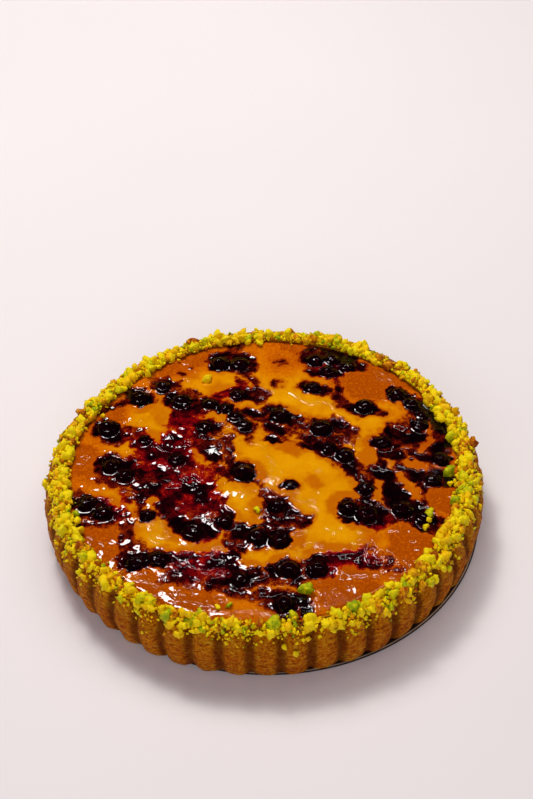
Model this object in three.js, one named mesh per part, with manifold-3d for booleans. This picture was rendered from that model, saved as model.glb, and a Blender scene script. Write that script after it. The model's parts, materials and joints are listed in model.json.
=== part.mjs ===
// A whole berry tart: a fluted shortcrust case with a baked almond filling, berries half sunk in it,
// a band of chopped pistachio round the rim, and the loose metal base of the tin that it stands on.
// Millimetres, +Z up. The origin is on the table under the middle of the tart.
import * as THREE from 'three';
import { mergeVertices } from 'three/addons/utils/BufferGeometryUtils.js';
import Module from 'manifold-3d';

// ---- Driving dimensions ----------------------------------------------------------------------

const GAP = 0.3; // between pieces that touch

const TIN_RADIUS = 118.5;
const TIN_THICKNESS = 0.8;
const TIN_SHIFT = 4.6; // how far the loose base sits off the middle of the tart
const TIN_SHIFT_DEGREES = -17; // and the way it is shifted

const CRUST_FOOT = TIN_THICKNESS + GAP;
const CRUST_TOP = 34;
const FOOT_RADIUS = 121.2; // the flutes' crests at the foot,
const WIDEST_RADIUS = 125; // where the wall bulges most,
const RIM_RADIUS = 121; // and at the top edge
const WIDEST_HEIGHT = 18;
const ROLL_IN_HEIGHT = 27; // where the wall starts to curve in under the nuts
const FLUTES = 48;
const FLUTE_DEPTH = 3;
const FLUTE_SHARPNESS = 2.2; // higher gives broader ridges and narrower valleys
const FLUTE_TURN_DEGREES = -1;
const FLUTE_STEPS = [0.13, 0.37, 0.5, 0.63, 0.87]; // a valley lies at 0.5
const FLAT_SPOT = 2.6; // how far the case is pushed in at its back left
const FLAT_SPOT_DEGREES = 138;
const FLAT_SPOT_SPREAD = 42;

const POCKET_RADIUS = 112; // inside of the wall at the rim
const POCKET_FLOOR_RADIUS = 109.5;
const POCKET_FLOOR = CRUST_FOOT + 5;
const POCKET_SECTORS = 60;

const FILLING_EDGE = 33.2; // height of the filling where it meets the wall
const FILLING_DOME = 1.4;
const FILLING_SWELLS = 0.5;
const FILLING_RINGS = [38, 72, 96];

const NUT_BAND_INNER = 110.5;
const NUT_BAND_OUTER = 121.5;
const NUT_BAND_HEIGHT = 3.6;
const NUT_BAND_UNEVEN = 0.9;
const NUT_BAND_SECTORS = 96;

const BERRY_FLATNESS = 0.8; // a berry's height over its width
const BERRY_LIFT = -0.14; // how far its middle stands over the filling, of its width
const BERRY_SEGMENTS = 7;
const BERRY_BANDS = 4;

// Where the berries lie: right of the middle, behind the middle, and width. They follow the compote's swirls.
const BERRY_PLACES = {
  backLeft: [[-24, 92, 11], [-12, 90, 11], [-59, 72, 9], [-73, 63, 12], [-47, 58, 12]],
  backRight: [[34, 91, 10], [44.5, 91, 10], [41, 80, 10], [53, 84, 9], [31, 66, 9], [61, 48, 10]],
  innerBack: [[-30, 54, 9], [-21, 50, 9], [-14, 62, 9], [-15, 43, 8], [-10, 35, 8], [11, 43, 12]],
  right: [[81, 58, 11], [89, 49, 9], [94, 39, 8], [92, 30, 9], [69, 17, 10], [101, 2, 9]],
  innerRight: [[35, 31, 13], [38, 14, 9], [47, 8, 10], [95, -14, 9]],
  left: [[-90, 38, 13], [-68, 26, 7], [-33, 34, 10], [-86, 6, 10], [-78, -2, 9], [-49, 9, 10]],
  innerLeft: [[-11, -4, 12], [-98, -22, 10], [-89, -30, 11], [-64, -34, 8]],
  inner: [[-39, -48, 13], [-22, -41, 9], [15, -16, 7], [7, -31, 10], [-4, -52, 11], [8, -56, 12]],
  frontRight: [[46, -34, 10], [56, -39, 12], [57, -19, 9], [76, -36, 12], [87, -43, 9]],
  front: [[-69, -68, 10], [-58, -66, 11], [-14, -82, 9], [12, -77, 12], [27, -77, 10], [9, -100, 11]],
};

// ---- Solids ----------------------------------------------------------------------------------

const wasm = await Module();
wasm.setup();

const radians = THREE.MathUtils.degToRad;

function toSolid(geometry) {
  const bare = geometry.clone();
  bare.deleteAttribute('normal');
  bare.deleteAttribute('uv');
  const merged = mergeVertices(bare, 1e-4);
  return new wasm.Manifold(new wasm.Mesh({
    numProp: 3,
    vertProperties: merged.attributes.position.array,
    triVerts: new Uint32Array(merged.index.array),
  }));
}

function toGeometry(solid) {
  const mesh = solid.getMesh();
  const geometry = new THREE.BufferGeometry();
  geometry.setAttribute('position', new THREE.BufferAttribute(mesh.vertProperties, 3));
  geometry.setIndex(new THREE.BufferAttribute(mesh.triVerts, 1));
  geometry.computeVertexNormals();
  return geometry;
}

// Skins a stack of rings, each a closed loop of the same number of points, bottom ring first.
// With caps the stack is a solid between its first and last ring; without, the last ring joins the first.
function skinRings(rings, capped) {
  const count = rings[0].length;
  const points = rings.flat();
  const triangles = [];
  const joints = capped ? rings.length - 1 : rings.length;
  for (let level = 0; level < joints; level += 1) {
    const low = level * count;
    const high = ((level + 1) % rings.length) * count;
    for (let i = 0; i < count; i += 1) {
      const next = (i + 1) % count;
      triangles.push(low + i, low + next, high + next, low + i, high + next, high + i);
    }
  }
  if (capped) {
    addCap(points, triangles, rings[0], 0, true);
    addCap(points, triangles, rings.at(-1), (rings.length - 1) * count, false);
  }
  const geometry = new THREE.BufferGeometry();
  geometry.setAttribute('position', new THREE.Float32BufferAttribute(points.flat(), 3));
  geometry.setIndex(triangles);
  geometry.computeVertexNormals();
  return geometry;
}

function addCap(points, triangles, ring, first, facesDown) {
  const middle = points.length;
  points.push([0, 0, ring.reduce((sum, point) => sum + point[2], 0) / ring.length]);
  for (let i = 0; i < ring.length; i += 1) {
    const next = (i + 1) % ring.length;
    if (facesDown) triangles.push(middle, first + next, first + i);
    else triangles.push(middle, first + i, first + next);
  }
}

// ---- Crust -----------------------------------------------------------------------------------

// The flutes' crests from foot to rim: the wall leans out, bulges, and rolls in under the nuts.
function crestRadius(height) {
  if (height < WIDEST_HEIGHT) {
    const down = (WIDEST_HEIGHT - height) / (WIDEST_HEIGHT - CRUST_FOOT);
    return WIDEST_RADIUS - (WIDEST_RADIUS - FOOT_RADIUS) * down ** 1.6;
  }
  const up = (height - WIDEST_HEIGHT) / (CRUST_TOP - WIDEST_HEIGHT);
  return WIDEST_RADIUS - (WIDEST_RADIUS - RIM_RADIUS) * up ** 2.2;
}

// Flutes are rounded ridges that meet in narrow valleys: 0 on a crest, 1 in a valley.
const fluteValley = (part) => Math.abs(2 * part - 2 * Math.round(part)) ** FLUTE_SHARPNESS;

// The case is a little flattened at one side.
function flatSpot(degrees) {
  const away = Math.abs(THREE.MathUtils.euclideanModulo(degrees - FLAT_SPOT_DEGREES + 180, 360) - 180);
  if (away > FLAT_SPOT_SPREAD) return 0;
  return FLAT_SPOT * Math.cos((away / FLAT_SPOT_SPREAD) * (Math.PI / 2)) ** 2;
}

function ringPoint(degrees, radius, height) {
  const angle = radians(degrees);
  const pushed = radius - flatSpot(degrees);
  return [pushed * Math.cos(angle), pushed * Math.sin(angle), height];
}

function crustRing(height) {
  const ring = [];
  for (let flute = 0; flute < FLUTES; flute += 1) {
    for (const step of FLUTE_STEPS) {
      const degrees = (flute + step) * (360 / FLUTES) + FLUTE_TURN_DEGREES;
      const radius = crestRadius(height) - FLUTE_DEPTH * fluteValley(step);
      ring.push(ringPoint(degrees, radius, height));
    }
  }
  return ring;
}

function pocketRing(radius, height, clearance) {
  const ring = [];
  for (let i = 0; i < POCKET_SECTORS; i += 1) {
    ring.push(ringPoint((i * 360) / POCKET_SECTORS, radius - clearance, height));
  }
  return ring;
}

function crust() {
  const levels = [CRUST_FOOT, WIDEST_HEIGHT, ROLL_IN_HEIGHT, CRUST_TOP];
  const block = toSolid(skinRings(levels.map(crustRing), true));
  const above = CRUST_TOP + 1;
  const flare = (POCKET_RADIUS - POCKET_FLOOR_RADIUS) / (CRUST_TOP - POCKET_FLOOR);
  const pocket = toSolid(skinRings([
    pocketRing(POCKET_FLOOR_RADIUS, POCKET_FLOOR, 0),
    pocketRing(POCKET_RADIUS + flare, above, 0),
  ], true));
  return toGeometry(block.subtract(pocket));
}

// ---- Filling and berries ---------------------------------------------------------------------

// The baked surface: a low dome with soft swells that die out towards the wall.
function fillingHeight(x, y) {
  const out = Math.min(1, Math.hypot(x, y) / POCKET_RADIUS);
  const swell = Math.sin(x / 17 + 1) * Math.cos(y / 15) + Math.sin((x + y) / 23 + 2);
  return FILLING_EDGE + FILLING_DOME * (1 - out ** 2) + FILLING_SWELLS * swell * (1 - out ** 4);
}

function berryGeometry([x, y, width], clearance) {
  const geometry = new THREE.SphereGeometry(1, BERRY_SEGMENTS, BERRY_BANDS);
  geometry.rotateX(Math.PI / 2);
  const radius = width / 2 + clearance;
  geometry.scale(radius, radius, (width * BERRY_FLATNESS) / 2 + clearance);
  geometry.translate(x, y, fillingHeight(x, y) + BERRY_LIFT * width);
  return geometry;
}

function filling(berries) {
  const rings = [
    pocketRing(POCKET_FLOOR_RADIUS, POCKET_FLOOR + GAP, GAP),
    pocketRing(POCKET_RADIUS, FILLING_EDGE, GAP),
  ];
  for (const radius of [...FILLING_RINGS].reverse()) {
    const ring = pocketRing(radius, 0, 0);
    rings.push(ring.map(([x, y]) => [x, y, fillingHeight(x, y)]));
  }
  const wells = berries.map((berry) => toSolid(berryGeometry(berry, GAP)));
  return toGeometry(toSolid(skinRings(rings, true)).subtract(wasm.Manifold.union(wells)));
}

// ---- Nuts and tin ----------------------------------------------------------------------------

// A slow wandering between -1 and 1 round the tart, different for each seed.
function wander(degrees, seed) {
  const angle = radians(degrees);
  return (Math.sin(7 * angle + seed) + Math.sin(17 * angle + 2.3 * seed) + Math.sin(29 * angle + 4.1 * seed)) / 3;
}

function nutBand() {
  const floor = CRUST_TOP + GAP;
  const width = NUT_BAND_OUTER - NUT_BAND_INNER;
  const section = [[1, 0, 1], [0.85, 0.7, 2], [0.5, 1, 3], [0.18, 0.75, 4], [0, 0, 5]];
  const rings = section.map(([across, up, seed]) => {
    const ring = [];
    for (let i = 0; i < NUT_BAND_SECTORS; i += 1) {
      const degrees = (i * 360) / NUT_BAND_SECTORS;
      const radius = NUT_BAND_INNER + across * width + NUT_BAND_UNEVEN * wander(degrees, seed);
      const height = floor + up * (NUT_BAND_HEIGHT + NUT_BAND_UNEVEN * wander(degrees, seed + 9));
      ring.push(ringPoint(degrees, radius, height));
    }
    return ring;
  });
  return skinRings(rings, false);
}

function tinBase() {
  const geometry = new THREE.CylinderGeometry(TIN_RADIUS, TIN_RADIUS, TIN_THICKNESS, 72);
  geometry.rotateX(Math.PI / 2);
  const way = radians(TIN_SHIFT_DEGREES);
  geometry.translate(TIN_SHIFT * Math.cos(way), TIN_SHIFT * Math.sin(way), TIN_THICKNESS / 2);
  return geometry;
}

// ---- The tart --------------------------------------------------------------------------------

const finishes = {
  crust: new THREE.MeshStandardMaterial({ color: 0x9a5a1c, roughness: 0.85, metalness: 0 }),
  filling: new THREE.MeshStandardMaterial({ color: 0xd08a10, roughness: 0.25, metalness: 0 }),
  nuts: new THREE.MeshStandardMaterial({ color: 0xb9a818, roughness: 0.7, metalness: 0 }),
  berry: new THREE.MeshStandardMaterial({ color: 0x1a0410, roughness: 0.15, metalness: 0 }),
  tin: new THREE.MeshStandardMaterial({ color: 0x3a3836, roughness: 0.35, metalness: 1 }),
};

function named(name, geometry, finish) {
  const mesh = new THREE.Mesh(geometry, finish);
  mesh.name = name;
  return mesh;
}

const berries = Object.values(BERRY_PLACES).flat();
const tart = new THREE.Group();
tart.add(named('tin_base', tinBase(), finishes.tin));
tart.add(named('crust', crust(), finishes.crust));
tart.add(named('filling', filling(berries), finishes.filling));
tart.add(named('pistachio_band', nutBand(), finishes.nuts));
berries.forEach((berry, i) => {
  const name = `berry_${String(i + 1).padStart(2, '0')}`;
  tart.add(named(name, berryGeometry(berry, 0), finishes.berry));
});

export default tart;
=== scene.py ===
"""A whole berry tart on the loose base of its tin.

Fluted shortcrust holds a baked almond filling, swirled with dark compote and whole berries under a wet glaze, and
chopped pistachio is heaped round the rim. Everything is in metres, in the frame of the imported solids; the tables of
places below are in millimetres, right of the middle and behind it.
"""
import json
import math

import bmesh
import bpy
import numpy as np
from mathutils import Matrix, Vector

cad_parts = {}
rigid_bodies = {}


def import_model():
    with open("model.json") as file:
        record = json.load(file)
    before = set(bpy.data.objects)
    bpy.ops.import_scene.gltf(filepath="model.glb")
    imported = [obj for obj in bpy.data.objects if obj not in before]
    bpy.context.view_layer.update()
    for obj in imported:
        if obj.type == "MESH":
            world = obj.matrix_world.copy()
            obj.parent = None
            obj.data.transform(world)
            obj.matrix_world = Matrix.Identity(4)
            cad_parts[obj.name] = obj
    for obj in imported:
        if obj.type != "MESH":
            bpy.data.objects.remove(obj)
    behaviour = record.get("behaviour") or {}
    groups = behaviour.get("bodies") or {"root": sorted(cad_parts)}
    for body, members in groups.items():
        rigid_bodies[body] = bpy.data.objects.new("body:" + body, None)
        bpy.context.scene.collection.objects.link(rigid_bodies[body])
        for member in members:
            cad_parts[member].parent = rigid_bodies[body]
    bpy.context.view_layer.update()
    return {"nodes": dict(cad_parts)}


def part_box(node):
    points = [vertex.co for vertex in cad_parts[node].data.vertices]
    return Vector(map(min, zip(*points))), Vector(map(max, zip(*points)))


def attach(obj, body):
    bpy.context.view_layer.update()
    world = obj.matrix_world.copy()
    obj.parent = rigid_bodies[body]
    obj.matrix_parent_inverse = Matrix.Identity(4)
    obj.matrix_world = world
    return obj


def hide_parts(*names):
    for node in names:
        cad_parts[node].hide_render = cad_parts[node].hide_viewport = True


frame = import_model()

MM = 0.001
SEED = 11

# ---- Sizes, worked out from the solids ----------------------------------------------------------

CRUST_LOW, CRUST_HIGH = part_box("crust")
TIN_LOW, TIN_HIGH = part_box("tin_base")

WIDEST = CRUST_HIGH.x / MM  # the flutes' crests where the wall bulges most
FOOT = CRUST_LOW.z / MM
RIM = CRUST_HIGH.z / MM
FOOT_RADIUS = WIDEST - 3.8
RIM_RADIUS = WIDEST - 4.0
WIDEST_HEIGHT = 18.0
FLUTES = 48
FLUTE_DEPTH = 3.0
FLUTE_SHARPNESS = 2.2
FLUTE_TURN = math.radians(-1)
FLAT_SPOT = 2.6
FLAT_SPOT_AT = math.radians(138)
FLAT_SPOT_SPREAD = math.radians(42)
POCKET_RADIUS = 112.0  # inside of the wall at the rim
POCKET_FLOOR_RADIUS = 109.5
POCKET_FLOOR = FOOT + 5.0
GAP = 0.3

FILLING_EDGE = RIM - 0.8
FILLING_DOME = 1.4
FILLING_SWELLS = 0.5
COMPOTE_SINK = 0.25  # how far compote lies under the batter beside it

BEADED_SHARE = 0.45  # of the berries, those made of beads
BEADS = 44

LENS = 70
CAMERA_RISE = 42.44  # degrees over the table
CAMERA_ROLL = -2.1
CAMERA_DISTANCE = 7.775 * 0.125
CAMERA_AIM = (0.0033, 0.0944, 0)

# ---- Places chosen one by one -------------------------------------------------------------------

# Streaks of compote: from x, y to x, y; width; sideways bow; strength, 1 a dark pool and 0.6 a thin red film.
STREAKS = (
    # back left
    (-22, 94, -11, 90, 17, 0, 1), (-17, 99, -13, 112, 8, 0, 0.6), (-13, 84, -4, 66, 3.5, 3, 0.75),
    (-58, 102, -48, 104, 5, 0, 0.85), (-46, 97, -43, 92, 5, 0, 0.8), (-47, 84, -42, 82, 5, 0, 0.9),
    (-61, 77, -44, 62, 14, 0, 0.72), (-76, 67, -70, 60, 14, 0, 1), (-97, 54, -76, 60, 4.5, 2, 0.85),
    (-52, 61, -43, 55, 13, 0, 1), (-54, 50, -40, 34, 17, 0, 0.8), (-94, 42, -86, 31, 12, 0, 1),
    (-24, 66, -2, 61, 12, 0, 0.85), (-14, 75, -12, 72, 6, 0, 0.6), (-31, 55, -20, 50, 12, 0, 1),
    (-41, 50, -34, 46, 8, 0, 0.8), (-8, 46, 6, 43, 7, 0, 1),
    # back right
    (12, 91, 13, 91, 5, 0, 0.95), (10, 72, 10, 72, 4, 0, 0.95), (33, 95, 50, 96, 18, 0, 1),
    (33, 95, 34, 80, 9, 0, 0.95), (42, 82, 46, 80, 12, 0, 0.95), (52, 88, 60, 84, 7, 0, 0.9),
    (37, 110, 40, 100, 6, 0, 0.85), (27, 68, 37, 64, 9, 0, 0.88), (46, 76, 45, 59, 4, 1, 0.8),
    (45, 59, 59, 42, 5.5, -2, 0.85), (50, 50, 64, 44, 8, 0, 1), (64, 44, 72, 41, 5, 0, 0.95),
    (79, 58, 88, 54, 9, 0, 1), (88, 52, 92, 44, 9, 0, 1), (96, 49, 101, 41, 8, 0, 0.95),
    # right
    (100, 43, 104, 20, 8, 1, 1), (104, 20, 99, 2, 9, 0, 1), (92, 42, 86, 30, 9, 0, 0.72),
    (84, 31, 76, 22, 8, 0, 0.78), (78, 25, 93, 15, 14, 0, 1), (64, 18, 75, 16, 9, 0, 1),
    (70, 9, 96, 3, 9, 0, 0.92), (62, 6, 67, -12, 11, 0, 1), (70, -12, 74, -30, 15, 0, 0.97),
    (76, -30, 86, -44, 17, 0, 1), (88, -9, 101, -13, 12, 0, 1), (78, -2, 88, -10, 9, 0, 0.8),
    (85, -46, 91, -51, 5, 0, 0.9), (96, -44, 97, -45, 5, 0, 0.8), (90, -16, 88, -34, 6, -2, 0.85),
    # inner right
    (6, 46, 17, 40, 12, 0, 1), (28, 32, 42, 31, 13, 0, 1), (22, 37, 28, 30, 8, 0, 0.72),
    (42, 34, 51, 26, 8, 0, 0.75), (3, 35, 12, 29, 7, 0, 1), (12, 36, 21, 31, 3, 0, 0.5),
    (4, 23, 10, 21, 6, 0, 1), (12, 19, 19, 14, 6, 0, 1), (22, 27, 28, 22, 5, 0, 1), (24, 17, 31, 14, 6, 0, 0.95),
    (22, 27, 42, 20, 8, 0, 0.72), (34, 16, 46, 5, 13, 0, 1), (46, 5, 53, -3, 10, 0, 1), (44, 24, 54, 20, 6, 0, 0.65),
    (50, -2, 57, -14, 9, 0, 0.9), (56, -12, 58, -28, 10, 0, 0.95), (46, -32, 58, -40, 19, 0, 1),
    (50, -46, 60, -48, 6, 0, 0.9), (72, -36, 58, -50, 7, 1, 0.66), (58, -50, 55, -76, 5, -3, 0.66),
    # left
    (-79, 34, -64, 22, 10, 0, 0.84), (-68, 26, -57, 10, 17, 0, 0.86), (-66, 14, -60, 3, 10, 0, 1),
    (-87, 7, -73, 4, 18, 0, 1), (-60, 22, -32, 20, 18, 0, 0.88), (-74, 8, -58, 2, 13, 0, 0.88),
    (-62, -12, -48, -26, 11, 0, 0.8), (-54, 29, -47, 26, 7, 0, 0.95),
    (-34, 34, -28, 33, 11, 0, 0.95), (-17, 45, -10, 33, 11, 0, 1), (-30, 18, -27, 8, 8, 0, 0.92),
    (-20, 24, -18, 5, 7, 0, 0.7), (-52, 9, -46, 8, 12, 0, 1), (-8, 25, -7, 23, 4, 0, 0.85),
    (-90, -5, -70, -9, 9, 0, 0.72), (-74, -12, -62, -10, 7, 1, 0.5), (-68, -4, -56, -20, 20, 0, 0.92),
    (-79, -14, -77, -20, 6, 0, 0.95), (-70, -18, -68, -28, 6, 1, 0.95),
    (-104, -18, -97, -27, 10, 0, 1), (-96, -26, -86, -31, 17, 0, 1), (-103, -38, -92, -39, 4, 1, 0.85),
    (-76, -33, -75, -33, 4, 0, 1), (-65, -33, -63, -34, 7, 0, 1),
    (-14, -2, -8, -6, 14, 0, 1), (-30, 0, -20, -4, 6, 0, 0.7), (-44, 6, -30, -12, 13, 0, 0.76),
    (-26, 2, -17, -12, 5, 0, 0.7), (-48, 44, -32, 32, 9, 0, 0.74),
    # inner left and middle
    (-52, -8, -38, -18, 22, 0, 1), (-46, -14, -38, -20, 9, 0, 1), (-50, -26, -32, -38, 22, 0, 0.76),
    (-46, -42, -34, -49, 17, 0, 1), (-30, -24, -26, -36, 7, 0, 0.85),
    (-28, -28, -12, -48, 12, 0, 0.86), (-12, -50, 12, -54, 15, 0, 1), (15, -16, 15, -17, 6, 0, 0.95),
    (14, -25, 14, -24, 4, 0, 0.9), (27, -12, 28, -15, 3.5, 0, 0.9), (-5, -17, 3, -25, 8, 0, 0.62),
    (3, -26, 11, -36, 14, 0, 0.96), (4, -42, 22, -42, 8, 0, 0.7), (22, -42, 23, -42, 6, 0, 0.95),
    (-1, -42, -2, -30, 8, 0, 0.8), (-34, -18, -22, -30, 9, 0, 0.8),
    # front left
    (-75, -40, -70, -60, 9, -2, 0.82), (-72, -66, -55, -66, 14, 0, 1), (-55, -62, -45, -68, 8, 0, 0.82),
    (-45, -68, -25, -68, 14, 0, 1), (-50, -76, -30, -82, 12, 0, 0.86), (-28, -78, -10, -78, 15, 0, 0.97),
    (-22, -62, -14, -75, 10, 0, 0.95), (-20, -58, -12, -58, 6, 0, 0.9), (-32, -84, -20, -85, 5, 0, 0.7),
    (-18, -88, 8, -95, 6, -1, 0.95), (-10, -84, 3, -82, 7, 0, 0.84),
    # front right
    (30, -67, 55, -73, 13, 1, 0.94), (8, -76, 17, -78, 15, 0, 1), (22, -76, 30, -78, 10, 0, 1),
    (0, -83, 16, -87, 5, 0, 0.84), (4, -98, 17, -102, 14, 0, 1), (9, -108, 11, -107, 9, 0, 0.95),
    (65, -74, 65, -75, 6, 0, 0.9), (70, -79, 71, -79, 5, 0, 0.6),
)

# Batter that stands clear of the compote round it: from x, y to x, y; width; sideways bow.
ISLANDS = (
    (-24, -12, -24, -13, 9, 0), (-12, -18, -9, -36, 17, 0), (-76, 50, -62, 48, 19, 0), (-66, 38, -62, 26, 6, 0),
    (-37, 80, -30, 74, 20, 0), (-62, 94, -50, 96, 16, 0), (10, 2, 36, -22, 36, 0), (24, -32, 34, -28, 12, 0),
    (50, -54, 20, -57, 18, 2), (-65, -42, -50, -54, 13, 0), (-45, -58, -25, -60, 7, 0), (-10, -68, 22, -66, 10, 1),
    (83, 2, 90, -4, 5.5, 0), (77, -8, 86, -26, 6.5, -1), (64, -13, 63, -28, 5.5, 0), (96, 18, 92, 10, 4.5, 0),
    (-84, -18, -84, -26, 4.5, 0), (-62, -20, -65, -29, 6, 0), (58, 18, 60, 5, 10, 0), (-5, 11, 4, 4, 11, 0),
    (-24, 45, -30, 40, 8, 0), (-16, 54, -6, 52, 7, 0), (-36, 10, -38, 16, 4, 0),
)

# Where the oven browned the filling most: x, y, spread, strength.
BROWNED = (
    (82, -62, 32, 0.95), (-90, -52, 24, 0.8), (62, 68, 30, 0.85), (12, 86, 20, 0.3), (40, -90, 26, 0.6),
    (-45, -94, 34, 0.7), (-92, 50, 20, 0.8), (30, 106, 20, 0.5), (97, -28, 16, 0.8), (-104, 12, 22, 0.6),
    (-52, 94, 20, 0.5), (-36, 100, 18, 0.5), (-40, -22, 16, 0.7), (-42, 16, 10, 0.7), (100, 20, 14, 0.9),
)

# Where the compote is thin and red, not near black: x, y, spread.
CRIMSON = (
    (-58, 18, 34), (-40, -14, 32), (-44, 38, 22), (-20, 66, 18), (42, -70, 22), (62, -46, 14),
    (-36, -66, 26), (-84, -24, 16), (44, 84, 14),
)

# Where it stayed palest: x, y, spread, strength.
PALE = (
    (-64, 46, 18, 1), (30, -50, 26, 1), (30, -8, 30, 1), (-8, -28, 18, 1), (0, -68, 22, 1), (-58, -45, 14, 0.8),
    (27, 46, 14, 0.8),
)

# Where the glaze dried in fine ripples that sparkle: x, y, spread.
RIPPLES = (
    (-103, 16, 8), (-103, -16, 8), (-98, -22, 6), (-72, 79, 11), (-62, 74, 6), (6, -8, 9), (-24, 22, 7), (55, -10, 6),
    (62, -28, 6), (30, -99, 13), (-40, -6, 6), (-27, -36, 8), (22, -76, 5), (78, -78, 12), (-76, -72, 5), (74, 75, 7),
    (-70, -18, 5), (50, 20, 5), (8, -36, 6), (-46, 96, 4), (16, -96, 7),
)

# Thick runs of set glaze: half width of the flat part, then the points that each run passes.
GLAZE_RUNS = (
    # back left
    (0, (-86, 17), (-84, 25), (-78, 19), (-73, 13), (-71, 8), (-76, 10), (-81, 14), (-86, 17)),
    (0.2, (-62, 22), (-58, 25), (-54, 30), (-51, 26), (-49, 21)), (0, (-60, 21), (-55, 16), (-51, 15)),
    (0.5, (-38, 32), (-36, 28), (-31, 25), (-27, 27), (-23, 29)), (1.3, (-26, 25), (-22, 18)),
    (0.4, (-20, 28), (-17, 24), (-19, 19), (-17, 12), (-16, 5), (-11, 0), (-5, -3)), (0.3, (-16, 28), (-13, 19)),
    (1.0, (-24, 43), (-22, 38), (-20, 35)), (0.2, (-12, 40), (-10, 42), (-8, 39), (-11, 37)),
    (0.2, (-18, 35), (-15, 34)),
    (0.8, (-50, 58), (-49, 54), (-46, 52), (-43, 55)), (3.0, (-35, 63), (-32, 60)), (1.0, (-31, 51), (-31, 47)),
    (1.6, (-46, 96), (-42, 90), (-40, 87)), (1.8, (-46, 81), (-44, 79)), (1.6, (-71, 44), (-68, 37)),
    (3.2, (-8, 104), (-5, 101)), (0.7, (-16, 93), (-13, 88), (-12, 93)),
    (0.2, (-47, 22), (-43, 25), (-42, 21), (-47, 21)),
    (0.8, (-58, 88), (-57, 88)), (1.2, (-54, 62), (-55, 64)), (0.5, (-91, 12), (-91, 9)),
    # back right
    (2.4, (-1, 82), (2, 78)), (1.0, (2, 78), (4, 68), (2, 61)),
    (0.5, (2, 61), (4, 55), (5, 50), (9, 49), (14, 49), (18, 44), (21, 38), (25, 36)),
    (0.4, (29, 37), (35, 38), (38, 35), (42, 29)), (1.6, (7, 67), (8, 65)),
    (0.9, (11, 65), (17, 64), (22, 60), (26, 55), (30, 53), (36, 54), (41, 51), (45, 44), (49, 37), (47, 34)),
    (1.2, (29, 35), (28, 33)), (0.8, (34, 103), (36, 95), (36, 88)), (3.0, (43, 79), (46, 78)),
    (1.0, (51, 88), (56, 85)),
    (0.5, (66, 82), (70, 80), (77, 74), (80, 68)), (0.5, (68, 79), (72, 73), (78, 69)), (1.8, (61, 50), (62, 48)),
    (0.7, (73, 54), (76, 56), (82, 55), (85, 52), (80, 53), (74, 53)), (0.6, (88, 52), (90, 47)),
    (0.6, (96, 50), (99, 45)),
    (1.2, (88, 36), (91, 31), (91, 27)), (1.0, (93, 29), (98, 30)), (0.5, (84, 43), (84, 41)),
    (0.5, (43, 20), (46, 24), (54, 22)), (0.2, (45, 18), (48, 12), (50, 8)), (0.4, (52, 18), (54, 10), (55, 5)),
    (0.5, (-5, 20), (-1, 17), (2, 12), (4, 7), (7, 3), (8, 0)), (0.3, (46, 6), (49, 4), (50, 1)),
    # front right
    (0.3, (72, 1), (77, -1), (80, -5), (76, -5), (72, -1)), (0.3, (2, -15), (6, -22), (10, -28), (13, -32)),
    (0, (20, -20), (23, -28), (29, -33), (30, -38), (23, -37), (17, -37)), (0.6, (18, -20), (17, -25), (20, -28)),
    (0.9, (53, -2), (54, -8), (57, -14)), (0.3, (53, -27), (57, -29), (60, -33), (61, -36)),
    (0.6, (60, -20), (63, -28)),
    (0.6, (62, -52), (58, -56), (55, -62), (54, -68), (55, -74)), (0.4, (59, -54), (57, -60)),
    (0.7, (17, -67), (21, -71)), (0.5, (20, -75), (24, -78), (22, -82)), (0.4, (8, -88), (12, -92), (18, -95)),
    (0.3, (5, -110), (11, -106), (20, -106)), (1.4, (95, -15), (96, -16)), (0, (88, -38), (86, -43), (90, -48)),
    (0.3, (42, -36), (46, -39)), (0.3, (56, -42), (58, -45)), (0.5, (94, -2), (97, -7)), (0.7, (103, -4), (102, -9)),
    # front left
    (0, (-103, -38), (-98, -46), (-90, -50), (-86, -56), (-81, -64), (-79, -71)),
    (0, (-72, -41), (-70, -38), (-66, -42), (-64, -48), (-58, -55), (-52, -60), (-47, -65)),
    (0, (-70, -42), (-69, -50), (-66, -57), (-60, -62), (-57, -66)),
    (0.2, (-66, -35), (-64, -40), (-58, -38), (-55, -42), (-52, -49), (-57, -50), (-59, -46)),
    (0, (-68, -64), (-71, -66), (-70, -69), (-67, -70), (-67, -66)),
    (0, (-62, -63), (-58, -66), (-57, -70), (-62, -70)),
    (0.3, (-42, -66), (-40, -62), (-36, -61), (-30, -63), (-24, -65), (-22, -69), (-25, -73), (-32, -73), (-40, -71),
     (-42, -66)),
    (0.9, (-38, -79), (-34, -81), (-31, -83)), (0.4, (-30, -78), (-25, -74)), (0.5, (-50, -71), (-46, -74)),
    (0.3, (-19, -81), (-17, -81), (-14, -87), (-16, -89), (-19, -86), (-19, -81)), (0.3, (-52, -68), (-45, -70)),
    (0.6, (-71, -79), (-65, -80), (-58, -84), (-52, -89), (-48, -93), (-40, -95), (-32, -98), (-26, -101), (-20, -104)),
    (0.5, (-28, -96), (-22, -95), (-17, -98)), (0.8, (-15, -103), (-9, -103), (-9, -107), (-14, -108)),
    (0.4, (-55, -6), (-49, -10), (-47, -4), (-42, -9), (-37, -13), (-37, -20), (-34, -26)), (1.2, (-45, -2), (-42, -5)),
    (0.4, (-78, -14), (-72, -16), (-69, -22)), (0.3, (-27, -32), (-24, -38), (-22, -44), (-25, -50)),
    (0.5, (-88, -21), (-86, -19), (-86, -22)), (1.0, (-89, -28), (-88, -30)), (0.4, (-76, -74), (-70, -71), (-66, -74)),
)

# Bits of pistachio that strayed onto the filling: x, y, length.
STRAYS = (
    (-32, 76, 7), (21, -92, 8), (90, -41, 6), (89, -45, 4.5), (87, -50, 4), (104, -10, 8), (104, -18, 4),
    (-103, -36, 5), (64, -91, 6), (-26, -101, 3.5), (-20, -100, 4), (-104, -31, 5), (0, 108, 6), (-4, -34, 5),
)

# ---- Small helpers ------------------------------------------------------------------------------


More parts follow.
